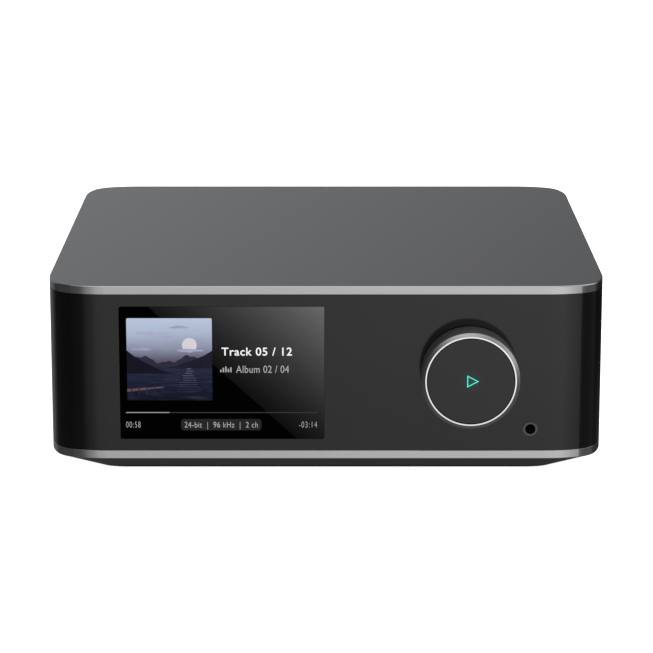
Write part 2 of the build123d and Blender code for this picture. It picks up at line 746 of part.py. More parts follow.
# ---------------------------------------------------------------------------
# Rear sockets
# ---------------------------------------------------------------------------
with BuildPart() as rca_blocks:
    for x in RCA_X:
        with BuildSketch(front(84.0)):
            with Locations((x, (TOP_Z + 56.0) / 2)):
                Rectangle(12.6, 56.0 - TOP_Z)
        extrude(amount=-(PANEL_Y - 84.0))
    with BuildSketch(front(PANEL_Y)):
        with Locations(*[(x, 42.0) for x in RCA_X]):
            Circle(1.25)
    extrude(amount=8.0, mode=Mode.SUBTRACT)
save(rca_blocks, "rca_blocks")

# plated barrels
with BuildPart() as rca_shells:
    for x in RCA_X:
        for z in RCA_Z:
            with BuildSketch(Plane(origin=(x, 0, z), x_dir=(1, 0, 0), z_dir=(0, 0, 1))):
                with BuildLine():
                    Polyline((3.5, PANEL_Y), (4.15, PANEL_Y), (4.15, REAR_Y), (5.2, REAR_Y),
                             (5.2, REAR_Y + 0.9), (4.15, REAR_Y + 0.9), (4.15, REAR_Y + 8.0),
                             (3.85, REAR_Y + 8.4), (3.5, REAR_Y + 8.4), close=True)
                make_face()
            revolve(axis=Axis((x, 0, z), (0, 1, 0)), revolution_arc=360)
save(rca_shells, "rca_shells")

# insulators inside the barrels, with the contact bore
with BuildPart() as rca_insulators:
    for x in RCA_X:
        for z in RCA_Z:
            with BuildSketch(Plane(origin=(x, 0, z), x_dir=(1, 0, 0), z_dir=(0, 0, 1))):
                with BuildLine():
                    Polyline((1.65, PANEL_Y), (3.5, PANEL_Y), (3.5, REAR_Y + 7.8),
                             (1.95, REAR_Y + 7.8), (1.65, REAR_Y + 7.5), close=True)
                make_face()
            revolve(axis=Axis((x, 0, z), (0, 1, 0)), revolution_arc=360)
save(rca_insulators, "rca_insulators")

# ground terminal: stud with collar, loose washer and fluted thumb nut
GX, GZ = GROUND
GROUND_PLANE = Plane(origin=(GX, 0, GZ), x_dir=(1, 0, 0), z_dir=(0, 0, 1))
GROUND_AXIS = Axis((GX, 0, GZ), (0, 1, 0))
with BuildPart() as ground_post:
    with BuildSketch(GROUND_PLANE):
        with BuildLine():
            Polyline((0, 92.0), (2.0, 92.0), (2.0, 96.2), (2.8, 96.2), (2.8, PANEL_Y),
                     (2.0, PANEL_Y), (2.0, REAR_Y), (4.0, REAR_Y), (4.0, 101.4), (2.0, 101.4),
                     (2.0, 111.6), (1.6, 112.0), (0, 112.0), close=True)
        make_face()
    revolve(axis=GROUND_AXIS, revolution_arc=360)
save(ground_post, "ground_post")

with BuildPart() as ground_washer:
    with BuildSketch(front(101.7)):
        with Locations(GROUND):
            Circle(3.8)
            Circle(2.0 + RUN, mode=Mode.SUBTRACT)
    extrude(amount=-0.8)
save(ground_washer, "ground_washer")

with BuildPart() as ground_thumb_nut:
    with BuildSketch(front(102.8)):
        with Locations(GROUND):
            Circle(3.9)
            Circle(2.0 + RUN, mode=Mode.SUBTRACT)
    extrude(amount=-5.8)
    chamfer(ground_thumb_nut.edges().filter_by(GeomType.CIRCLE).group_by(SortBy.RADIUS)[-1], length=0.4)
    with BuildSketch(front(104.0)):
        with Locations(GROUND):
            with PolarLocations(4.0, 18):
                Circle(0.38)
    extrude(amount=-6.0, mode=Mode.SUBTRACT)
save(ground_thumb_nut, "ground_thumb_nut")

# optical sockets: deep square well, ceiling recess for the open shutter, pin holes
OPT_TOP = TOP_Z + 11.4
OPT_MID = TOP_Z + 5.0
PIN_Y, PIN_Z = 100.2, TOP_Z + 9.7
with BuildPart() as optical_sockets:
    with BuildSketch(front(86.0)):
        with Locations(*[(x, (TOP_Z + OPT_TOP) / 2) for x in OPT_X]):
            Rectangle(10.0, OPT_TOP - TOP_Z)
    extrude(amount=-(101.4 - 86.0))
    with BuildSketch(front(91.4)):
        with Locations(*[(x, OPT_MID) for x in OPT_X]):
            Rectangle(8.1, 8.1)
    extrude(amount=-11.0, mode=Mode.SUBTRACT)
    with BuildSketch(front(91.4)):
        with Locations(*[(x, OPT_MID + 1.4) for x in OPT_X]):
            Rectangle(8.1, 8.1)
    extrude(amount=-(101.0 - 91.4), mode=Mode.SUBTRACT)
    for x in OPT_X:
        with BuildSketch(Plane(origin=(x - 4.9, 0, 0), x_dir=(0, 1, 0), z_dir=(1, 0, 0))):
            with Locations((PIN_Y, PIN_Z)):
                Circle(0.4 + RUN)
        extrude(amount=9.8, mode=Mode.SUBTRACT)
save(optical_sockets, "optical_sockets")

for name, x in (("optical_out_shutter", OPT_X[0]), ("optical_in_shutter", OPT_X[1])):
    with BuildPart() as optical_shutter:
        with BuildSketch(Plane(origin=(x - 3.7, 0, 0), x_dir=(0, 1, 0), z_dir=(1, 0, 0))):
            with Locations((PIN_Y, PIN_Z)):
                Circle(0.45)
            with Locations((PIN_Y, PIN_Z - 4.0)):
                Rectangle(0.7, 8.0)
        extrude(amount=7.4)
        with BuildSketch(Plane(origin=(x - 4.7, 0, 0), x_dir=(0, 1, 0), z_dir=(1, 0, 0))):
            with Locations((PIN_Y, PIN_Z)):
                Circle(0.4)
        extrude(amount=9.4)
    save(optical_shutter, name)

# flat digital sockets: formed metal shells with chamfered lower corners
with BuildPart() as hdmi_socket:
    with BuildSketch(front(88.0)):
        with BuildLine():
            Polyline((HDMI_X - 7.5, TOP_Z + 5.9), (HDMI_X + 7.5, TOP_Z + 5.9), (HDMI_X + 7.5, TOP_Z + 2.0),
                     (HDMI_X + 6.0, TOP_Z + 0.2), (HDMI_X - 6.0, TOP_Z + 0.2), (HDMI_X - 7.5, TOP_Z + 2.0),
                     close=True)
        make_face()
    extrude(amount=-(101.2 - 88.0))
    with BuildSketch(front(89.0)):
        with BuildLine():
            Polyline((HDMI_X - 7.0, TOP_Z + 5.4), (HDMI_X + 7.0, TOP_Z + 5.4), (HDMI_X + 7.0, TOP_Z + 2.2),
                     (HDMI_X + 5.8, TOP_Z + 0.7), (HDMI_X - 5.8, TOP_Z + 0.7), (HDMI_X - 7.0, TOP_Z + 2.2),
                     close=True)
        make_face()
    extrude(amount=-13.0, mode=Mode.SUBTRACT)
save(hdmi_socket, "hdmi_socket")

with BuildPart() as usb_socket:
    with BuildSketch(front(88.0)):
        with Locations((USB_X, TOP_Z + 3.5)):
            RectangleRounded(13.4, 6.2, 0.6)
    extrude(amount=-(101.2 - 88.0))
    with BuildSketch(front(89.0)):
        with Locations((USB_X, TOP_Z + 3.5)):
            RectangleRounded(12.5, 5.2, 0.3)
    extrude(amount=-13.0, mode=Mode.SUBTRACT)
save(usb_socket, "usb_socket")

# contact tongues of the two flat sockets
with BuildPart() as socket_tongues:
    with BuildSketch(front(89.0)):
        with Locations((HDMI_X, TOP_Z + 3.2)):
            Rectangle(11.6, 1.0)
    extrude(amount=-10.2)
    with BuildSketch(front(89.0)):
        with Locations((USB_X, TOP_Z + 4.55)):
            Rectangle(11.1, 1.8)
    extrude(amount=-11.0)
save(socket_tongues, "socket_tongues")

with BuildPart() as network_socket:
    with BuildSketch(front(80.0)):
        with Locations((LAN_X, TOP_Z + 6.75)):
            Rectangle(16.0, 13.5)
    extrude(amount=-(101.0 - 80.0))
    with BuildSketch(front(86.5)):
        with Locations((LAN_X, TOP_Z + 6.6)):
            Rectangle(11.9, 7.9)
        with Locations((LAN_X, TOP_Z + 2.4)):
            Rectangle(6.2, 2.6)
    extrude(amount=-15.0, mode=Mode.SUBTRACT)
save(network_socket, "network_socket")

with BuildPart() as trigger_socket:
    with BuildSketch(front(86.0)):
        with Locations((TRIGGER[0], TOP_Z + 3.5)):
            Rectangle(7.2, 7.0)
    extrude(amount=-(PANEL_Y - 86.0))
    with BuildSketch(front(PANEL_Y)):
        with Locations(TRIGGER):
            Circle(3.0)
    extrude(amount=-3.0)
    with BuildSketch(front(88.0)):
        with Locations(TRIGGER):
            Circle(JACK_R)
    extrude(amount=-14.0, mode=Mode.SUBTRACT)
save(trigger_socket, "trigger_socket")

# pairing button and the small board behind it
with BuildPart() as pairing_button:
    with BuildSketch(front(96.4)):
        with Locations(PAIR):
            Circle(3.2)
    extrude(amount=-1.2)
    with BuildSketch(front(96.4)):
        with Locations(PAIR):
            Circle(2.15)
    extrude(amount=-4.4)
    fillet(pairing_button.edges().group_by(Axis.Y)[-1], radius=0.3)
save(pairing_button, "pairing_button")

with BuildPart() as pairing_board:
    with BuildSketch(front(88.0)):
        with Locations(PAIR):
            RectangleRounded(20.0, 12.0, 1.0)
            with GridLocations(15.0, 0, 2, 1):
                Circle(1.0, mode=Mode.SUBTRACT)
    extrude(amount=-BOARD_T)
save(pairing_board, "pairing_board")

# printed antennas on the inside of the two side walls
with BuildPart() as wifi_antennas:
    for side in (-1, 1):
        with BuildSketch(Plane.XY.offset(42.0)):
            with Locations((side * 99.5, 0)):
                Rectangle(1.0, 46.0)
        extrude(amount=10.0)
save(wifi_antennas, "wifi_antennas")

# ---------------------------------------------------------------------------
# Fasteners
# ---------------------------------------------------------------------------
m3x9 = pan_screw(2.8, 2.0, 1.25, 9.0)
m3x16 = pan_screw(2.8, 2.0, 1.25, 16.0)
m2x3 = pan_screw(1.8, 1.2, 0.9, 3.6)
m2x14 = pan_screw(2.1, 1.5, 1.1, 12.2)
m3x5 = pan_screw(2.6, 1.8, 1.25, 5.5)
m2x5 = pan_screw(1.7, 1.2, 0.85, 4.6)
m2x4 = pan_screw(1.9, 1.3, 1.05, 3.4)
m3x8 = pan_screw(2.6, 1.5, 1.25, 8.0)

with BuildPart() as cover_screws:
    with Locations(*[Location((x, y, 57.0), TO_DOWN) for x, y in COVER_LUGS]):
        add(m3x9)
save(cover_screws, "cover_screws")

with BuildPart() as base_screws:
    with Locations(*[Location((x, y, 5.0), TO_DOWN) for x in (-POST, POST) for y in (-POST, POST)]):
        add(m3x16)
save(base_screws, "base_screws")

# small screws of the display bracket, the rear panel and the pairing board
with BuildPart() as small_screws:
    with Locations(*[Location((DISP_X + dx, -96.2, DISP_Z + dz), TO_REAR)
                     for dx in (-45.0, 45.0) for dz in (-22.0, 22.0)]):
        add(m2x3)
    with Locations(*[Location((x, PANEL_Y, z), TO_FRONT) for x in (-84.5, 84.5) for z in (26.0, 55.0)]):
        add(m2x4)
    with Locations(*[Location((PAIR[0] + dx, 88.0, PAIR[1]), TO_FRONT) for dx in (-7.5, 7.5)]):
        add(m2x5)
save(small_screws, "small_screws")

with BuildPart() as control_screws:
    with Locations(*[Location((KNOB_X + dx, -85.4, KNOB_Z + dz), TO_REAR)
                     for dx in (-15.0, 15.0) for dz in (-15.0, 15.0)]):
        add(m2x14)
save(control_screws, "control_screws")

with BuildPart() as board_screws:
    with Locations(*[Location((x, y, TOP_Z), TO_UP) for x, y in MAIN_HOLES]):
        add(m3x5)
    with Locations(*[Location((x, y, PSU_TOP), TO_UP) for x, y in PSU_HOLES]):
        add(m3x5)
save(board_screws, "board_screws")

with BuildPart() as socket_screws:
    with Locations(*[Location((x, REAR_Y, 42.0), TO_REAR) for x in RCA_X]):
        add(m3x8)
save(socket_screws, "socket_screws")

print("box", main_housing.part.bounding_box().size, top_cover.part.bounding_box().max.Z)
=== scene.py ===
import json
import math

import bmesh
import bpy
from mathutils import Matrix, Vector


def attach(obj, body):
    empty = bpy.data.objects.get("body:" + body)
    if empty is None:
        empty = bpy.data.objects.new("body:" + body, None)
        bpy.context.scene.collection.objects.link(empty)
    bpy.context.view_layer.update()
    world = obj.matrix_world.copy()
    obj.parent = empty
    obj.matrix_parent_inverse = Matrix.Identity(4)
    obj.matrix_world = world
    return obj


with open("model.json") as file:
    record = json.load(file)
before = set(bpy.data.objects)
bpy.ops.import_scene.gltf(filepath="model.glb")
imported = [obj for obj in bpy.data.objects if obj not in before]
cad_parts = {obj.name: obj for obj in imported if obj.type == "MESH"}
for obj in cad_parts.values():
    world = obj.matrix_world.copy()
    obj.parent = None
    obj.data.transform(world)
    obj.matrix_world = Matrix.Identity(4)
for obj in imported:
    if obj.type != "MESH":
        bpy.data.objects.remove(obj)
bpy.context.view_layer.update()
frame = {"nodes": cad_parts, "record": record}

SCENE = bpy.context.scene
NODES = frame["nodes"]
MM = 0.001

# key places of the frame, in millimetres
FRONT = -102.5
KNOB_X, KNOB_Z = 52.5, 40.37
PHONE_X, PHONE_Z = 75.16, 19.2
DISP_X, DISP_Z, DISP_W, DISP_H = -38.14, 40.39, 75.05, 49.9


# ---------------------------------------------------------------------------
# Materials
# ---------------------------------------------------------------------------
class Mat:
    """A Principled material whose nodes are wired from object coordinates."""

    def __init__(self, name, base=(0.5, 0.5, 0.5), rough=0.5, metal=0.0, ior=1.45, level=0.5,
                 coat=0.0, coat_rough=0.1, sheen=0.0, aniso=0.0, alpha=1.0):
        self.m = bpy.data.materials.new(name)
        self.m.use_nodes = True
        self.t = self.m.node_tree
        self.b = self.t.nodes["Principled BSDF"]
        self.set("Base Color", (*base, 1.0))
        self.set("Roughness", rough)
        self.set("Metallic", metal)
        self.set("IOR", ior)
        self.set("Specular IOR Level", level)
        self.set("Coat Weight", coat)
        self.set("Coat Roughness", coat_rough)
        self.set("Sheen Weight", sheen)
        self.set("Anisotropic", aniso)
        self.set("Alpha", alpha)
        self.m.diffuse_color = (*base, 1.0)
        self.coord = self.t.nodes.new("ShaderNodeTexCoord").outputs["Object"]

    def set(self, socket, value):
        self.b.inputs[socket].default_value = value

    def link(self, a, b):
        self.t.links.new(a, b)

    def into(self, socket, out):
        self.link(out, self.b.inputs[socket])

    def node(self, kind, **props):
        n = self.t.nodes.new(kind)
        for k, v in props.items():
            setattr(n, k, v)
        return n

    def _feed(self, socket, value):
        if isinstance(value, bpy.types.NodeSocket):
            self.link(value, socket)
        else:
            socket.default_value = value

    def math(self, op, a, b=0.0, c=0.0, clamp=False):
        n = self.node("ShaderNodeMath", operation=op, use_clamp=clamp)
        for s, v in zip(n.inputs, (a, b, c)):
            self._feed(s, v)
        return n.outputs[0]

    def vmath(self, op, a, b=(0, 0, 0)):
        n = self.node("ShaderNodeVectorMath", operation=op)
        self._feed(n.inputs[0], a)
        self._feed(n.inputs[1], b)
        return n.outputs["Value"] if op in ("LENGTH", "DOT_PRODUCT", "DISTANCE") else n.outputs["Vector"]

    def xyz(self, vector=None):
        n = self.node("ShaderNodeSeparateXYZ")
        self.link(vector or self.coord, n.inputs[0])
        return n.outputs

    def scaled(self, s, vector=None):
        return self.vmath("MULTIPLY", vector or self.coord, s)

    def noise(self, scale, detail=3.0, rough=0.5, vector=None, stretch=None):
        n = self.node("ShaderNodeTexNoise")
        v = vector or self.coord
        if stretch:
            v = self.scaled(stretch, v)
        self.link(v, n.inputs["Vector"])
        n.inputs["Scale"].default_value = scale
        n.inputs["Detail"].default_value = detail
        n.inputs["Roughness"].default_value = rough
        return n.outputs["Fac"]

    def cells(self, scale, vector=None, feature="F1"):
        n = self.node("ShaderNodeTexVoronoi", feature=feature)
        self.link(vector or self.coord, n.inputs["Vector"])
        n.inputs["Scale"].default_value = scale
        return n.outputs["Distance"]

    def remap(self, x, a, b, c, d, smooth=False):
        n = self.node("ShaderNodeMapRange", interpolation_type="SMOOTHSTEP" if smooth else "LINEAR")
        self.link(x, n.inputs["Value"])
        for k, v in (("From Min", a), ("From Max", b), ("To Min", c), ("To Max", d)):
            n.inputs[k].default_value = v
        return n.outputs["Result"]

    def mix(self, fac, a, b):
        n = self.node("ShaderNodeMix", data_type="RGBA")
        self._feed(n.inputs[0], fac)
        for s, v in ((n.inputs[6], a), (n.inputs[7], b)):
            self._feed(s, (*v, 1.0) if isinstance(v, tuple) and len(v) == 3 else v)
        return n.outputs[2]

    def ramp(self, fac, stops, mode="LINEAR"):
        n = self.node("ShaderNodeValToRGB")
        n.color_ramp.interpolation = mode
        e = n.color_ramp.elements
        while len(e) < len(stops):
            e.new(0.5)
        for k, (p, c) in zip(e, stops):
            k.position = p
            k.color = (*c, 1.0)
        self.link(fac, n.inputs[0])
        return n.outputs["Color"]

    def bump(self, height, strength, distance, under=None, socket="Normal"):
        n = self.node("ShaderNodeBump")
        n.inputs["Strength"].default_value = strength
        n.inputs["Distance"].default_value = distance
        self.link(height, n.inputs["Height"])
        if under:
            self.link(under, n.inputs["Normal"])
        self.into(socket, n.outputs["Normal"])
        return n.outputs["Normal"]

    def emit(self, color, strength):
        self._feed(self.b.inputs["Emission Color"], (*color, 1.0) if isinstance(color, tuple) else color)
        self._feed(self.b.inputs["Emission Strength"], strength)


def srgb(v):
    """Linear value of an 0..255 display tone."""
    v = v / 255.0
    return v / 12.92 if v <= 0.04045 else ((v + 0.055) / 1.055) ** 2.4


def tone(r, g, b):
    return (srgb(r), srgb(g), srgb(b))


def rough_varied(mat, centre, spread, scale, detail=4.0, stretch=None):
    mat.into("Roughness", mat.remap(mat.noise(scale, detail, 0.6, stretch=stretch), 0.25, 0.75,
                                    centre - spread, centre + spread))


# bead-blasted and anodised aluminium of the cover and the lower frame
def make_anodised():
    k = Mat("anodised_aluminium", (0.4, 0.405, 0.41), 0.34, metal=1.0)
    fine = k.noise(5200, 3, 0.6)
    broad = k.noise(28, 4, 0.55)
    k.into("Base Color", k.mix(k.remap(broad, 0.3, 0.7, 0.0, 1.0), (0.392, 0.398, 0.408), (0.412, 0.416, 0.424)))
    worn = k.math("ADD", k.remap(fine, 0.3, 0.7, -0.03, 0.03), k.remap(broad, 0.3, 0.7, 0.2, 0.225))
    # the upright edge bands are cut brighter than the blasted flat
    nz = k.xyz(k.node("ShaderNodeNewGeometry").outputs["Normal"])[2]
    worn = k.math("ADD", worn, k.remap(k.math("ABSOLUTE", nz), 0.2, 0.7, -0.05, 0.0))
    k.into("Roughness", worn)
    k.bump(fine, 0.22, 0.00002)
    return k.m


# polished black plastic wrap: near mirror, with the faintest polishing haze
def make_gloss_black():
    k = Mat("gloss_black_wrap", (0.0018, 0.0018, 0.0019), 0.09, ior=1.42)
    haze = k.noise(55, 5, 0.6)
    hair = k.noise(900, 2, 0.5, stretch=(0.06, 0.06, 1.0))
    k.into("Roughness", k.math("ADD", k.remap(haze, 0.35, 0.75, 0.075, 0.115), k.remap(hair, 0.55, 0.8, 0.0, 0.02)))
    k.into("Base Color", k.mix(k.remap(haze, 0.4, 0.8, 0.0, 1.0), (0.0016, 0.0016, 0.0017), (0.0024, 0.0024, 0.0025)))
    k.bump(k.noise(170, 2, 0.4), 0.02, 0.0001)
    return k.m


# black moulding with a spark-eroded texture
def make_textured_black(name, base=0.012, rough=0.55, grain=2600, depth=0.00003):
    k = Mat(name, (base, base, base * 1.04), rough, ior=1.47)
    g = k.noise(grain, 4, 0.65)
    broad = k.noise(40, 4, 0.6)
    k.into("Base Color", k.mix(k.remap(g, 0.3, 0.7, 0.0, 1.0), (base * 0.8,) * 3, (base * 1.3,) * 3))
    k.into("Roughness", k.math("ADD", k.remap(g, 0.3, 0.7, rough - 0.07, rough + 0.05), k.remap(broad, 0.3, 0.7, -0.03, 0.03)))
    k.bump(g, 0.5, depth)
    return k.m


def make_rubber():
    k = Mat("foot_rubber", (0.012, 0.012, 0.012), 0.75, ior=1.5, level=0.3)
    g = k.noise(1400, 4, 0.7)
    dust = k.noise(120, 5, 0.7)
    k.into("Base Color", k.mix(k.remap(dust, 0.5, 0.8, 0.0, 1.0), (0.011, 0.011, 0.011), (0.03, 0.029, 0.028)))
    k.into("Roughness", k.remap(g, 0.3, 0.7, 0.66, 0.86))
    k.bump(g, 0.6, 0.00005)
    return k.m


def turned(name, base, rough, centre, metal=1.0, groove=0.5, pitch=0.16, spun=0.0, matt_from=None, matt=0.0):
    """Metal turned about an axis along Y: fine rings on the faces, fine lines round the sides.
    Behind the plane y = matt_from it is duller by matt."""
    k = Mat(name, base, rough, metal=metal)
    x, y, z = k.xyz()[:3]
    dx, dz = k.math("SUBTRACT", x, centre[0] * MM), k.math("SUBTRACT", z, centre[1] * MM)
    r = k.math("SQRT", k.math("ADD", k.math("MULTIPLY", dx, dx), k.math("MULTIPLY", dz, dz)))
    a = k.math("ARCTAN2", dz, dx)
    ring = k.node("ShaderNodeCombineXYZ")
    k.link(k.math("MULTIPLY", r, 1.0 / (pitch * MM)), ring.inputs[0])
    k.link(k.math("MULTIPLY", y, 1.0 / (pitch * MM)), ring.inputs[1])
    k.link(k.math("MULTIPLY", a, 0.9), ring.inputs[2])
    lines = k.noise(1.0, 2, 0.6, vector=ring.outputs[0])
    broad = k.noise(160, 3, 0.6)
    dull = k.math("ADD", k.remap(lines, 0.3, 0.7, rough - 0.06, rough + 0.06), k.remap(broad, 0.3, 0.7, -0.02, 0.02))
    if matt_from is not None:
        dull = k.math("ADD", dull, k.math("MULTIPLY", k.math("GREATER_THAN", y, matt_from * MM), matt))
    k.into("Roughness", dull)
    lo, hi = tuple(c * 0.84 for c in base), tuple(min(1.0, c * 1.14) for c in base)
    k.into("Base Color", k.mix(k.remap(lines, 0.32, 0.68, 0.0, 1.0), lo, hi))
    k.bump(lines, groove, 0.00002)
    if spun:
        k.set("Anisotropic", spun)
        tangent = k.node("ShaderNodeTangent", direction_type="RADIAL", axis="Y")
        k.into("Tangent", tangent.outputs[0])
    return k


def make_cap():
    """Satin gloss disc with a painted glow: the icon's light bleeding faintly into it, painted as emission."""
    k = Mat("press_cap_black_painted_glow", (0.004, 0.004, 0.0042), 0.14, ior=1.43)
    haze = k.noise(90, 4, 0.6)
    k.into("Roughness", k.remap(haze, 0.3, 0.75, 0.12, 0.18))
    k.into("Base Color", k.mix(k.remap(haze, 0.4, 0.8, 0.0, 1.0), (0.0034, 0.0034, 0.0036), (0.005, 0.005, 0.0052)))
    # painted glow: teal emission round the icon, falling off over about 1.5 mm
    x, _, z = k.xyz()[:3]
    dx, dz = k.math("SUBTRACT", x, (KNOB_X + 0.1) * MM), k.math("SUBTRACT", z, KNOB_Z * MM)
    d2 = k.math("ADD", k.math("MULTIPLY", dx, dx), k.math("MULTIPLY", dz, dz))
    painted_icon_glow = k.math("EXPONENT", k.math("MULTIPLY", d2, -1.0 / (2 * (1.5 * MM) ** 2)))
    k.emit((0.02, 0.75, 0.62), k.math("MULTIPLY", painted_icon_glow, 0.045))
    k.bump(k.noise(3000, 2, 0.5), 0.05, 0.00001)
    return k.m


def make_icon():
    k = Mat("icon_light_teal", (0.02, 0.25, 0.21), 0.3, ior=1.45)
    v = k.noise(900, 2, 0.5)
    k.emit(k.mix(k.remap(v, 0.3, 0.7, 0.0, 1.0), (0.055, 0.76, 0.56), (0.07, 0.86, 0.66)), 0.95)
    k.into("Roughness", k.remap(v, 0.3, 0.7, 0.25, 0.38))
    return k.m


def make_screen_painted_glare():
    """Black glass over the panel, with a painted reflection: one slanted pale band, painted as emission, that fades
    downwards.
    """
    k = Mat("screen_black_glass_painted_glare", (0.0006, 0.0006, 0.0007), 0.05, ior=1.45, level=0.003)
    x, _, z = k.xyz()[:3]
    u, v = k.math("MULTIPLY", x, 1000.0), k.math("MULTIPLY", z, 1000.0)
    # signed distance from the slanted edge of the painted reflection, positive towards the upper right, in mm
    (x0, z0), (x1, z1) = (-65.33, 65.57), (-10.86, 15.52)
    lx, lz = x1 - x0, z1 - z0
    n = math.hypot(lx, lz)
    nx, nz = -lz / n, lx / n
    d = k.math("ADD", k.math("MULTIPLY", u, nx), k.math("ADD", k.math("MULTIPLY", v, nz), -(nx * x0 + nz * z0)))
    # side: the painted reflection's soft slanted edge
    side = k.remap(d, -0.12, 0.25, 0.0, 1.0, smooth=True)
    # display tone of the painted reflection, 0..1, rises to the right and upwards
    t = k.math("ADD", k.math("MULTIPLY", u, 1.288 / 255), k.math("MULTIPLY", v, 1.584 / 255))
    t = k.math("ADD", t, 1.2 / 255, clamp=True)
    # lit: strength of the painted reflection, only on the upper-right side of the slanted edge
    lit = k.math("MULTIPLY", k.math("POWER", k.math("MULTIPLY", k.math("ADD", t, 0.055), 1 / 1.055), 2.4), side)
    grain = k.noise(2500, 2, 0.5)
    lit = k.math("MULTIPLY", lit, k.remap(grain, 0.3, 0.7, 0.97, 1.03))
    # the painted reflection dims to a quarter at the very edge of the glass
    rim = k.remap(k.math("MAXIMUM", k.math("MULTIPLY", k.math("ABSOLUTE", k.math("SUBTRACT", u, DISP_X)), 1.0),
                         k.math("ADD", k.math("ABSOLUTE", k.math("SUBTRACT", v, DISP_Z)), (DISP_W - DISP_H) / 2)),
                  DISP_W / 2 - 0.14, DISP_W / 2 - 0.04, 1.0, 0.25)
    # the painted reflection is emitted as light from the glass
    k.emit((1.0, 1.0, 1.0), k.math("MULTIPLY", lit, rim))
    smear = k.noise(60, 4, 0.6)
    k.into("Roughness", k.remap(smear, 0.4, 0.8, 0.035, 0.09))
    return k.m


def make_plain(name, base, rough, metal=0.0, scale=400.0, spread=0.06, bump=0.15, tint=0.12, ior=1.45, stretch=None):
    """General finish with colour and roughness variation and a fine relief."""
    k = Mat(name, base, rough, metal=metal, ior=ior)
    g = k.noise(scale, 4, 0.6, stretch=stretch)
    broad = k.noise(scale * 0.05, 4, 0.6)
    lo, hi = tuple(c * (1 - tint) for c in base), tuple(min(1.0, c * (1 + tint)) for c in base)
    k.into("Base Color", k.mix(k.remap(k.math("ADD", k.math("MULTIPLY", g, 0.5), k.math("MULTIPLY", broad, 0.5)),
                                       0.35, 0.65, 0.0, 1.0), lo, hi))
    k.into("Roughness", k.remap(g, 0.3, 0.7, max(0.02, rough - spread), rough + spread))
    k.bump(g, bump, 0.00002)
    return k.m


def make_board():
    """Solder mask over copper: traces as a fine angular relief under the green."""
    k = Mat("circuit_board_green", (0.012, 0.075, 0.035), 0.32, ior=1.5, coat=0.3)
    x, y, z = k.xyz()[:3]
    grid = k.math("ADD", k.math("MULTIPLY", x, 780.0), k.math("MULTIPLY", y, 780.0))
    lane = k.math("ABSOLUTE", k.math("SINE", grid))
    cell = k.noise(90, 1, 0.2)
    track = k.remap(k.math("MULTIPLY", lane, k.remap(cell, 0.42, 0.5, 0.0, 1.0)), 0.55, 0.72, 0.0, 1.0)
    k.into("Base Color", k.mix(track, (0.008, 0.052, 0.024), (0.02, 0.115, 0.05)))
    k.into("Roughness", k.remap(k.noise(500, 3), 0.3, 0.7, 0.26, 0.4))
    k.bump(track, 0.5, 0.00004)
    return k.m


def make_insulators():
    """Phono insulators: a black pair, a red row and a white row, told apart by where they sit."""
    k = Mat("phono_insulator", (0.5, 0.02, 0.02), 0.3, ior=1.5)
    x, _, z = k.xyz()[:3]
    pair = k.math("GREATER_THAN", x, 47.5 * MM)
    upper = k.math("GREATER_THAN", z, 42.0 * MM)
    v = k.noise(700, 3, 0.5)
    red = k.mix(v, (0.42, 0.012, 0.014), (0.52, 0.02, 0.02))
    white = k.mix(v, (0.66, 0.65, 0.62), (0.76, 0.75, 0.72))
    black = k.mix(v, (0.012, 0.012, 0.013), (0.02, 0.02, 0.021))
    k.into("Base Color", k.mix(pair, black, k.mix(upper, red, white)))
    k.into("Roughness", k.remap(v, 0.3, 0.7, 0.24, 0.38))
    k.bump(v, 0.1, 0.00002)
    return k.m


ANODISED = make_anodised()
GLOSS = make_gloss_black()
PAN = make_textured_black("base_pan_black", 0.014, 0.5)
REAR = make_textured_black("rear_panel_black", 0.011, 0.5, grain=1900)
SOCKET = make_textured_black("socket_moulding", 0.016, 0.38, grain=3200, depth=0.000015)
PHONE_MOULDING = make_textured_black("headphone_moulding", 0.05, 0.42, grain=3200, depth=0.000015)
RUBBER = make_rubber()
KNOB = turned("knob_turned_metal", (0.365, 0.365, 0.369), 0.29, (KNOB_X, KNOB_Z), spun=0.6, matt_from=-114.35, matt=0.3).m
TRIM = turned("trim_ring_bright", (0.76, 0.76, 0.765), 0.12, (KNOB_X, KNOB_Z), groove=0.15, pitch=0.1).m
JACK = turned("socket_ring_dark", (0.075, 0.076, 0.078), 0.26, (PHONE_X, PHONE_Z), groove=0.2, pitch=0.12).m
CAP = make_cap()
ICON = make_icon()
SCREEN_PAINTED_GLARE = make_screen_painted_glare()
STEEL = make_plain("plated_steel", (0.56, 0.565, 0.57), 0.28, metal=1.0, scale=900, stretch=(1.0, 0.15, 1.0))
SHEET = make_plain("sheet_frame", (0.45, 0.46, 0.47), 0.35, metal=1.0, scale=500, stretch=(0.1, 1.0, 1.0))
BLACK_SCREW = make_plain("black_oxide_screw", (0.045, 0.045, 0.048), 0.34, metal=1.0, scale=1500, bump=0.25)
BRASS = make_plain("turned_brass", (0.72, 0.53, 0.25), 0.24, metal=1.0, scale=1200, bump=0.2)
GOLD = make_plain("gold_plate", (0.86, 0.62, 0.26), 0.17, metal=1.0, scale=800, bump=0.06, spread=0.04)
CHROME = make_plain("nickel_contact", (0.72, 0.71, 0.68), 0.18, metal=1.0, scale=1000, bump=0.08)
CHIP = make_plain("moulded_chip", (0.014, 0.014, 0.015), 0.48, scale=1500, bump=0.4)
SLEEVE = make_plain("capacitor_sleeve", (0.02, 0.025, 0.07), 0.3, scale=260)
FERRITE = make_plain("ferrite_core", (0.03, 0.03, 0.032), 0.6, scale=800, bump=0.6)
FINS = make_plain("extruded_aluminium", (0.6, 0.605, 0.61), 0.33, metal=1.0, scale=700, stretch=(1.0, 0.08, 1.0))
WIRE = make_plain("wire_sleeve", (0.02, 0.02, 0.02), 0.45, scale=300)
BOARD = make_board()
PHONO = make_insulators()

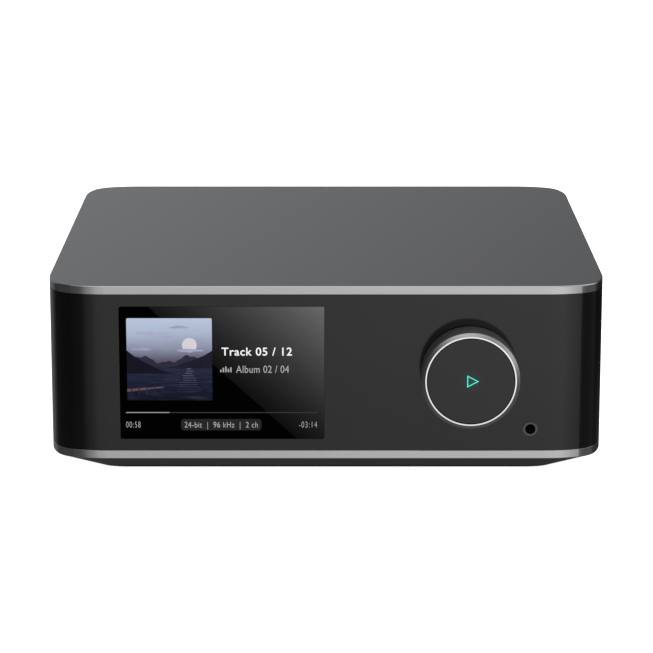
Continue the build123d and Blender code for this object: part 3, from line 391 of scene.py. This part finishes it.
FINISH = {
    "anodised_metal": ANODISED, "gloss_black": GLOSS, "black_plastic": SOCKET, "soft_rubber": RUBBER,
    "screen_glass": SCREEN_PAINTED_GLARE, "screen_frame": SHEET, "knob_metal": KNOB, "ring_metal": JACK,
    "bright_metal": TRIM, "cap_black": CAP, "icon_light": ICON, "circuit_board": BOARD,
    "sheet_steel": STEEL, "black_screw": BLACK_SCREW, "turned_brass": BRASS, "chip_black": CHIP,
    "capacitor_sleeve": SLEEVE, "ferrite": FERRITE, "sink_aluminium": FINS, "wire_sleeve": WIRE,
    "contact_gold": GOLD, "insulator": PHONO,
}
SPECIAL = {"base_pan": PAN, "rear_panel": REAR, "inlet_pins": CHROME, "headphone_ring": JACK, "headphone_socket": PHONE_MOULDING}
SLOT_OF = {s["node"]: s["material_slot"] for s in frame["record"]["subparts"]}


def dress(obj, material):
    obj.data.materials.clear()
    obj.data.materials.append(material)


for name, obj in NODES.items():
    dress(obj, SPECIAL.get(name) or FINISH[SLOT_OF[name]])


# ---------------------------------------------------------------------------
# Screen contents: thin inlays on the front of the glass
# ---------------------------------------------------------------------------
def light_mat(name, make_color, strength=1.0):
    """Self-lit screen layer. make_color gets the material and returns a colour or a socket."""
    k = Mat(name, (0.001, 0.001, 0.001), 0.06, ior=1.45, level=0.003)
    k.emit(make_color(k), strength)
    k.into("Roughness", k.remap(k.noise(60, 4, 0.6), 0.4, 0.8, 0.04, 0.09))
    return k.m


def prism(name, rings, proud, material, sink=0.05, body="casing"):
    """Plate with its outline in the front plane. rings: closed outlines of (x, z) in mm, filled even-odd."""
    bm = bmesh.new()
    y_front, y_back = (FRONT - proud) * MM, (FRONT + sink) * MM
    edges = []
    for ring in rings:
        vs = [bm.verts.new((x * MM, y_front, z * MM)) for x, z in ring]
        edges += [bm.edges.new((vs[i], vs[(i + 1) % len(vs)])) for i in range(len(vs))]
    bmesh.ops.triangle_fill(bm, use_beauty=True, use_dissolve=False, edges=edges, normal=(0, -1, 0))
    faces = list(bm.faces)
    ext = bmesh.ops.extrude_face_region(bm, geom=faces)
    for v in [g for g in ext["geom"] if isinstance(g, bmesh.types.BMVert)]:
        v.co.y = y_back
    bmesh.ops.recalc_face_normals(bm, faces=bm.faces)
    me = bpy.data.meshes.new(name)
    bm.to_mesh(me)
    bm.free()
    ob = bpy.data.objects.new(name, me)
    SCENE.collection.objects.link(ob)
    me.materials.append(material)
    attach(ob, body)
    return ob


def rounded(x0, z0, x1, z1, r, n=8):
    pts = []
    for cx, cz, a0 in ((x1 - r, z1 - r, 0), (x0 + r, z1 - r, 90), (x0 + r, z0 + r, 180), (x1 - r, z0 + r, 270)):
        for i in range(n + 1):
            a = math.radians(a0 + 90 * i / n)
            pts.append((cx + r * math.cos(a), cz + r * math.sin(a)))
    return pts


def label(name, text, x0, x1, z0, z1, material, bold=0.0, proud=0.03, fit_height=None,
          body="casing", plane="front", y=None, spacing=1.0):
    """Text from the built-in font, fitted to a box; z0..z1 is the height of its capitals or figures."""
    cu = bpy.data.curves.new(name + "_curve", "FONT")
    cu.body = text
    cu.size = 1.0
    cu.offset = bold
    cu.space_character = spacing
    cu.resolution_u = 6
    cu.fill_mode = "FRONT"
    tmp = bpy.data.objects.new(name + "_tmp", cu)
    SCENE.collection.objects.link(tmp)
    ref = bpy.data.curves.new(name + "_ref", "FONT")
    ref.body = fit_height or "0H"
    ref.size, ref.offset = 1.0, bold
    rtmp = bpy.data.objects.new(name + "_ref", ref)
    SCENE.collection.objects.link(rtmp)
    bpy.context.view_layer.update()
    dg = bpy.context.evaluated_depsgraph_get()
    me = bpy.data.meshes.new_from_object(tmp.evaluated_get(dg))
    rme = bpy.data.meshes.new_from_object(rtmp.evaluated_get(dg))
    xs = [v.co.x for v in me.vertices]
    hs = [v.co.y for v in rme.vertices]
    sx = (x1 - x0) / (max(xs) - min(xs))
    sz = (z1 - z0) / (max(hs) - min(hs))
    front = (FRONT - proud) if y is None else y
    bm = bmesh.new()
    bm.from_mesh(me)
    for v in bm.verts:
        px = x0 + (v.co.x - min(xs)) * sx
        pz = z0 + (v.co.y - min(hs)) * sz
        if plane == "front":
            v.co = Vector((px * MM, front * MM, pz * MM))
        else:       # rear: mirrored so that it reads from behind
            v.co = Vector((-px * MM, front * MM, pz * MM))
    bmesh.ops.remove_doubles(bm, verts=bm.verts, dist=1e-7)
    ext = bmesh.ops.extrude_face_region(bm, geom=list(bm.faces))
    back = front + 0.06 if plane == "front" else front - 0.06
    for v in [g for g in ext["geom"] if isinstance(g, bmesh.types.BMVert)]:
        v.co.y = back * MM
    bmesh.ops.recalc_face_normals(bm, faces=bm.faces)
    out = bpy.data.meshes.new(name)
    bm.to_mesh(out)
    bm.free()
    ob = bpy.data.objects.new(name, out)
    SCENE.collection.objects.link(ob)
    out.materials.append(material)
    for o, c in ((tmp, cu), (rtmp, ref)):
        bpy.data.objects.remove(o)
        bpy.data.curves.remove(c)
    bpy.data.meshes.remove(me)
    bpy.data.meshes.remove(rme)
    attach(ob, body)
    return ob


WHITE_TEXT = light_mat("screen_text_white", lambda k: tone(252, 252, 252))
GREY_TEXT = light_mat("screen_text_grey", lambda k: tone(172, 172, 172))
TIME_TEXT = light_mat("screen_text_time", lambda k: tone(188, 188, 188))
PILL_TEXT = light_mat("screen_text_pill", lambda k: tone(184, 184, 184))
BAR_ON = light_mat("screen_bar_played", lambda k: tone(156, 156, 156))
BAR_OFF = light_mat("screen_bar_left", lambda k: tone(58, 58, 58))
PILL = light_mat("screen_pill", lambda k: tone(38, 38, 38))

label("screen_title", "Track 05 / 12", -38.24, -12.47, 46.99, 49.99, WHITE_TEXT, bold=0.011, fit_height="T", spacing=1.09)
label("screen_subtitle", "Album 02 / 04", -32.99, -13.59, 40.5, 43.19, GREY_TEXT, bold=0.0, fit_height="A", spacing=1.05)
label("screen_time_now", "00:58", -73.53, -68.27, 19.75, 22.0, TIME_TEXT, bold=-0.018, spacing=1.18)
label("screen_time_left", "-03:14", -9.96, -3.35, 19.75, 22.0, TIME_TEXT, bold=-0.018, spacing=1.18)
label("screen_format", "24-bit  |  96 kHz  |  2 ch", -52.04, -25.13, 19.75, 21.9, PILL_TEXT, bold=-0.008, proud=0.04, spacing=1.08)
prism("screen_format_pill", [rounded(-53.37, 18.69, -23.78, 22.99, 1.25)], 0.02, PILL)
prism("screen_bar_played", [rounded(-73.55, 25.3, -57.56, 25.62, 0.15)], 0.03, BAR_ON)
prism("screen_bar_left", [rounded(-57.72, 25.29, -3.17, 25.61, 0.14)], 0.02, BAR_OFF)

# small level-bars symbol before the second line
for i, h in enumerate((1.0, 1.75, 2.25, 1.35, 1.9)):
    x = -38.78 + i * 0.917
    prism(f"screen_level_bar_{i + 1}", [rounded(x, 40.7, x + 0.5, 40.7 + h, 0.2, 4)], 0.03, GREY_TEXT)


# picture of the record: an evening bay with a low sun, clouds and headlands
AX0, AX1, AZ0, AZ1 = -72.94, -41.72, 30.1, 60.99


def sky(k):
    z = k.math("MULTIPLY", k.xyz()[2], 1000.0)
    f = k.remap(z, AZ0, AZ1, 0.0, 1.0)
    drift = k.noise(90, 3, 0.6, stretch=(0.35, 1.0, 1.6))
    f = k.math("ADD", f, k.remap(drift, 0.3, 0.7, -0.02, 0.02))
    return k.ramp(f, [(0.36, tone(52, 51, 72)), (0.5, tone(92, 88, 106)), (0.64, tone(140, 146, 168)),
                      (0.82, tone(172, 184, 206)), (1.0, tone(184, 197, 218))])


def water(k):
    x, _, z = k.xyz()[:3]
    f = k.remap(k.math("MULTIPLY", z, 1000.0), AZ0, 42.6, 0.0, 1.0)
    chop = k.noise(420, 3, 0.6, stretch=(0.28, 1.0, 2.4))
    base = k.ramp(f, [(0.0, tone(20, 21, 35)), (0.45, tone(27, 30, 50)), (1.0, tone(38, 40, 60))])
    return k.mix(k.remap(chop, 0.5, 0.8, 0.0, 0.3), base, tone(80, 86, 116))


def flat(r, g, b, depth=0.1):
    def color(k):
        v = k.noise(260, 3, 0.6)
        return k.mix(k.remap(v, 0.3, 0.7, 0.0, 1.0), tone(r * (1 - depth), g * (1 - depth), b * (1 - depth)), tone(r * (1 + depth), g * (1 + depth), b * (1 + depth)))
    return color


def clipped(points):
    """Keeps a band inside the picture."""
    return [(min(max(x, AX0), AX1), min(max(z, AZ0), AZ1)) for x, z in points]


def ridge(base, waves, x0=AX0, x1=AX1, n=72, floor=AZ0):
    """Closed outline: a wavy skyline above a flat floor."""
    top = []
    for i in range(n + 1):
        x = x0 + (x1 - x0) * i / n
        z = base + sum(a * math.sin(f * (x - AX0) + p) for a, f, p in waves)
        top.append((x, z))
    return clipped(top) + [(x1, floor), (x0, floor)]


prism("picture_sky", [rounded(AX0, AZ0, AX1, AZ1, 0.55)], 0.020, light_mat("picture_sky", sky))
sun = [(-50.0 + 2.7 * math.cos(math.tau * i / 48), 50.9 + 2.7 * math.sin(math.tau * i / 48)) for i in range(48)]
prism("picture_sun", [sun], 0.024, light_mat("picture_sun", flat(214, 206, 214, 0.02)))
for i, (cx, cz, w, h) in enumerate(((-63.5, 55.2, 12.5, 0.85), (-60.2, 54.0, 8.0, 0.6), (-49.6, 48.9, 10.0, 0.55),
                                    (-53.8, 57.6, 7.0, 0.5), (-67.5, 49.4, 7.5, 0.5))):
    cloud = []
    for j in range(40):
        a = math.tau * j / 40
        cloud.append((cx + w / 2 * math.cos(a), cz + h * math.sin(a) * (1 + 0.28 * math.sin(3 * a + i))))
    prism(f"picture_cloud_{i + 1}", [cloud], 0.026, light_mat(f"picture_cloud_{i + 1}", flat(168 - 4 * i, 172 - 4 * i, 198 - 4 * i, 0.03)))
prism("picture_far_hills", [ridge(45.6, ((1.25, 0.31, 0.4), (0.5, 0.9, 1.0), (0.2, 2.1, 0.0)), floor=42.2)], 0.028,
      light_mat("picture_far_hills", flat(46, 44, 62, 0.06)))
low = [(AX0 + 0.55, AZ0), (AX1 - 0.55, AZ0)]
prism("picture_water", [[(AX1, 42.7), (AX0, 42.7), (AX0, AZ0 + 0.55), (AX0 + 0.16, AZ0 + 0.16), (AX0 + 0.55, AZ0),
                         (AX1 - 0.55, AZ0), (AX1 - 0.16, AZ0 + 0.16), (AX1, AZ0 + 0.55)]], 0.030, light_mat("picture_water", water))


def headland(x_root, x_tip, z_base, height, n=36, wob=0.25):
    """Promontory that falls from the picture's edge to the water."""
    pts = []
    for i in range(n + 1):
        t = i / n
        z = z_base + height * (1 - t) ** 1.4 + wob * math.sin(9 * t + x_root) * (1 - t)
        pts.append((x_root + (x_tip - x_root) * t, max(z, z_base)))
    return pts + [(x_root, z_base)]


prism("picture_headland_far", [headland(AX1, -59.5, 42.2, 6.4)], 0.034, light_mat("picture_headland_far", flat(31, 30, 44, 0.06)))
prism("picture_headland_near", [headland(AX0, -56.0, 40.2, 8.6)], 0.036, light_mat("picture_headland_near", flat(22, 21, 33, 0.08)))
# glitter path under the sun
for i in range(11):
    z = 41.9 - i * 0.86
    w = 1.6 + 0.75 * i + 0.5 * math.sin(2.3 * i)
    cx = -50.2 + 0.35 * math.sin(1.7 * i)
    if z < AZ0 + 1.2:
        break
    prism(f"picture_glitter_{i + 1}", [rounded(cx - w / 2, z, cx + w / 2, z + 0.2, 0.09, 3)], 0.036,
          light_mat(f"picture_glitter_{i + 1}", flat(112 - 7 * i, 112 - 7 * i, 134 - 7 * i, 0.05)))
# a jetty with posts in the foreground
prism("picture_jetty", [[(AX0, 33.3), (-59.5, 34.9), (-59.5, 35.3), (AX0, 34.4)]], 0.040, light_mat("picture_jetty", flat(96, 76, 84, 0.12)))
for i in range(5):
    x = -71.6 + i * 2.85
    z = 34.0 + i * 0.28
    prism(f"picture_jetty_post_{i + 1}", [[(x, z - 2.6 + 0.2 * i), (x + 0.42, z - 2.6 + 0.2 * i), (x + 0.42, z + 0.9), (x, z + 0.9)]], 0.042,
          light_mat(f"picture_jetty_post_{i + 1}", flat(44, 38, 50, 0.15)))


# ---------------------------------------------------------------------------
# Rear panel: printed numbers beside the sockets
# ---------------------------------------------------------------------------
PRINT = make_plain("panel_print", (0.62, 0.62, 0.62), 0.5, scale=1800, bump=0.1, tint=0.08)
for i, (x, z) in enumerate(((68.0, 56.7), (54.5, 56.7), (41.0, 56.7), (68.0, 26.0), (54.5, 26.0), (41.0, 26.0),
                            (27.0, 40.8), (15.0, 40.8), (0.5, 36.0), (-17.0, 36.4), (-35.0, 43.0), (-49.5, 37.0),
                            (-66.0, 43.4), (-9.0, 54.0), (77.2, 48.4))):
    w = {0: 0.55, 10: 1.4}.get(i, 1.25 if i < 9 else 2.15)      # a figure one is narrow
    label(f"rear_number_{i + 1}", str(i + 1), -x - w / 2, -x + w / 2, z - 0.2, z + 1.9, PRINT, bold=0.006,
          plane="rear", y=100.04)


# ---------------------------------------------------------------------------
# Stage: floor, world light, soft boxes, camera
# ---------------------------------------------------------------------------
def make_floor():
    """Pale floor for the eye only: lit evenly, with the part's soft contact shadow."""
    k = Mat("studio_floor", (0.82, 0.82, 0.82), 0.7, level=0.1)
    t = k.t
    grain = k.noise(30, 4, 0.6)
    k.into("Base Color", k.mix(k.remap(grain, 0.3, 0.7, 0.0, 1.0), (0.80, 0.80, 0.80), (0.84, 0.84, 0.84)))
    k.into("Roughness", k.remap(k.noise(300, 3), 0.3, 0.7, 0.65, 0.75))
    seen = k.node("ShaderNodeEmission")
    seen.inputs["Color"].default_value = (1, 1, 1, 1)
    seen.inputs["Strength"].default_value = 0.955
    add = k.node("ShaderNodeAddShader")
    k.link(seen.outputs[0], add.inputs[0])
    k.link(k.b.outputs[0], add.inputs[1])
    geo = k.node("ShaderNodeNewGeometry")
    under = k.node("ShaderNodeMixShader")
    clear = k.node("ShaderNodeBsdfTransparent")
    k.link(geo.outputs["Backfacing"], under.inputs[0])
    k.link(add.outputs[0], under.inputs[1])
    k.link(clear.outputs[0], under.inputs[2])
    k.link(under.outputs[0], t.nodes["Material Output"].inputs["Surface"])
    return k.m


bm = bmesh.new()
bmesh.ops.create_grid(bm, x_segments=8, y_segments=8, size=9.0)
me = bpy.data.meshes.new("studio_floor")
bm.to_mesh(me)
bm.free()
floor = bpy.data.objects.new("studio_floor", me)
SCENE.collection.objects.link(floor)
me.materials.append(make_floor())
floor.location.z = -0.00002
floor.visible_glossy = False
floor.visible_diffuse = False
floor.visible_transmission = False
floor.visible_shadow = False

# The studio around the part: a sweep whose light depends on the direction only. Below the horizon it stands for
# the lit floor, bright in front, dark towards both corners; above it for soft boxes and the dim back wall.
world = bpy.data.worlds.new("studio")
SCENE.world = world
world.use_nodes = True
wt = world.node_tree
wt.nodes.clear()


def wnode(kind, **props):
    n = wt.nodes.new(kind)
    for a, v in props.items():
        setattr(n, a, v)
    return n


def wmath(op, a, b=0.0, c=0.0, clamp=False):
    n = wnode("ShaderNodeMath", operation=op, use_clamp=clamp)
    for s, v in zip(n.inputs, (a, b, c)):
        if isinstance(v, bpy.types.NodeSocket):
            wt.links.new(v, s)
        else:
            s.default_value = v
    return n.outputs[0]


def wdot(direction):
    n = wnode("ShaderNodeVectorMath", operation="DOT_PRODUCT")
    wt.links.new(wdir, n.inputs[0])
    n.inputs[1].default_value = Vector(direction).normalized()
    return n.outputs["Value"]


def wmap(x, a, b, c, d, smooth=True):
    n = wnode("ShaderNodeMapRange", interpolation_type="SMOOTHSTEP" if smooth else "LINEAR")
    wt.links.new(x, n.inputs["Value"])
    for key, v in (("From Min", a), ("From Max", b), ("To Min", c), ("To Max", d)):
        n.inputs[key].default_value = v
    return n.outputs["Result"]


def wcurve(x, lo, hi, points):
    """Piecewise value of x through (x, value) points, values up to 2."""
    n = wnode("ShaderNodeValToRGB")
    n.color_ramp.interpolation = "EASE"
    e = n.color_ramp.elements
    while len(e) < len(points):
        e.new(0.5)
    for k, (at, v) in zip(e, points):
        k.position = (at - lo) / (hi - lo)
        k.color = (v / 2, v / 2, v / 2, 1.0)
    wt.links.new(wmap(x, lo, hi, 0.0, 1.0, smooth=False), n.inputs[0])
    return wmath("MULTIPLY", n.outputs["Color"], 2.0)


def wmix(fac, a, b):
    n = wnode("ShaderNodeMix", data_type="FLOAT")
    for s, v in ((n.inputs[0], fac), (n.inputs[2], a), (n.inputs[3], b)):
        if isinstance(v, bpy.types.NodeSocket):
            wt.links.new(v, s)
        else:
            s.default_value = v
    return n.outputs[0]


wdir = wnode("ShaderNodeTexCoord").outputs["Generated"]
split = wnode("ShaderNodeSeparateXYZ")
wt.links.new(wdir, split.inputs[0])
dx, dy, dz = split.outputs
azimuth = wmath("MULTIPLY", wmath("ARCTAN2", dx, wmath("MULTIPLY", dy, -1.0)), 180 / math.pi)   # 0 in front, + right
sweep = wcurve(azimuth, -180.0, 180.0, [
    (-180, 0.19), (-150, 0.18), (-134, 0.16), (-118, 0.065), (-95, 0.08), (-62, 0.08), (-44, 0.08), (-34, 0.14), (-22, 0.53), (-12, 0.93),
    (-5, 0.985), (5, 1.28), (22, 1.35), (36, 1.02), (48, 0.43), (60, 0.16), (104, 0.16), (118, 0.05), (138, 0.02),
    (165, 0.015), (174, 0.08), (180, 0.17)])
depth = wcurve(dz, -1.0, 0.0, [(-1.0, 0.0), (-0.85, 0.02), (-0.5, 0.35), (-0.267, 0.82), (-0.211, 1.07), (0.0, 1.12)])
lower = wmix(depth, 0.17, sweep)
key = wmap(wdot((0.6, -0.5, 0.62)), 0.2, 0.62, 0.0, 0.95)       # large soft source, front right and above
over = wmap(wdot((0.05, -0.55, 0.83)), 0.75, 0.96, 0.0, 0.12)    # strip box over the front
wall = wcurve(dz, 0.0, 1.0, [(0.0, 1.5), (0.06, 1.4), (0.2, 1.0), (0.33, 0.7), (0.5, 0.85), (0.8, 1.0), (1.0, 1.0)])
behind = wmath("MULTIPLY", wmath("MULTIPLY", wmap(dx, -0.3, 0.3, 0.385, 0.085, smooth=False), wall), wmap(dy, 0.1, 0.6, 0.0, 1.0))
side = wmath("MULTIPLY", wmap(dy, 0.1, 0.6, 0.2, 0.0), wmap(dx, -0.85, -0.5, 0.35, 1.0))
between = wmap(wdot((0.508, -0.549, 0.648)), 0.92, 0.99, 1.0, 0.35)       # gap between the box above and the one at the right
upper = wmath("ADD", wmath("MULTIPLY", wmath("ADD", key, over), between), wmath("ADD", behind, side))
light = wmix(wmap(dz, -0.02, 0.06, 0.0, 1.0), lower, upper)
ray = wnode("ShaderNodeLightPath").outputs["Is Camera Ray"]
background = wnode("ShaderNodeBackground")
wt.links.new(wmix(ray, light, 1.0), background.inputs["Strength"])
tint = wnode("ShaderNodeMix", data_type="RGBA")
wt.links.new(wmath("MULTIPLY", wmap(dy, 0.3, 0.8, 0.0, 1.0), wmath("SUBTRACT", 1.0, ray)), tint.inputs[0])
tint.inputs[6].default_value = (1.0, 1.0, 1.0, 1.0)
tint.inputs[7].default_value = (0.97, 0.98, 1.01, 1.0)
wt.links.new(tint.outputs[2], background.inputs["Color"])
wt.links.new(background.outputs[0], wnode("ShaderNodeOutputWorld").inputs["Surface"])

SCENE.view_settings.view_transform = "Standard"
SCENE.view_settings.look = "None"


def soft_box(name, at, aim, w, h, watts, seen=True):
    la = bpy.data.lights.new(name, "AREA")
    la.shape = "RECTANGLE"
    la.size, la.size_y = w, h
    la.energy = watts
    ob = bpy.data.objects.new(name, la)
    SCENE.collection.objects.link(ob)
    ob.location = at
    ob.rotation_euler = (Vector(aim) - Vector(at)).to_track_quat("-Z", "Y").to_euler()
    ob.visible_camera = False
    ob.visible_glossy = seen
    return ob


soft_box("soft_box_above", (0.1, -0.25, 1.5), (0, 0, 0), 1.4, 1.4, 9.0, seen=False)
# low box close behind the part, which fills in the rear panel and stays in the part's own shadow from the front
rear_box = soft_box("soft_box_rear", (0.0, 0.24, -0.12), (0.0, 0.0, -0.12), 0.19, 0.36, 0.24)
lit = bpy.data.collections.new("lit_from_behind")
for name, obj in NODES.items():
    if not any(word in name for word in ("base_pan", "foot", "base_screw")):
        lit.objects.link(obj)
rear_box.light_linking.receiver_collection = lit

cam = bpy.data.cameras.new("photo_camera")
cam_ob = bpy.data.objects.new("photo_camera", cam)
SCENE.collection.objects.link(cam_ob)
cam_ob.location = (0.0, -1.108526, 0.290815)
cam_ob.rotation_euler = (math.pi / 2 - 0.23686, 0.0, 0.0)
cam.sensor_width = 36.0
cam.sensor_fit = "HORIZONTAL"
cam.lens = 36.0 * 2829.978 / 653.0
cam.shift_x = (326.5 - 326.1005) / 653.0
cam.shift_y = (352.979 - 326.5) / 653.0
cam.clip_start, cam.clip_end = 0.01, 60.0
SCENE.camera = cam_ob
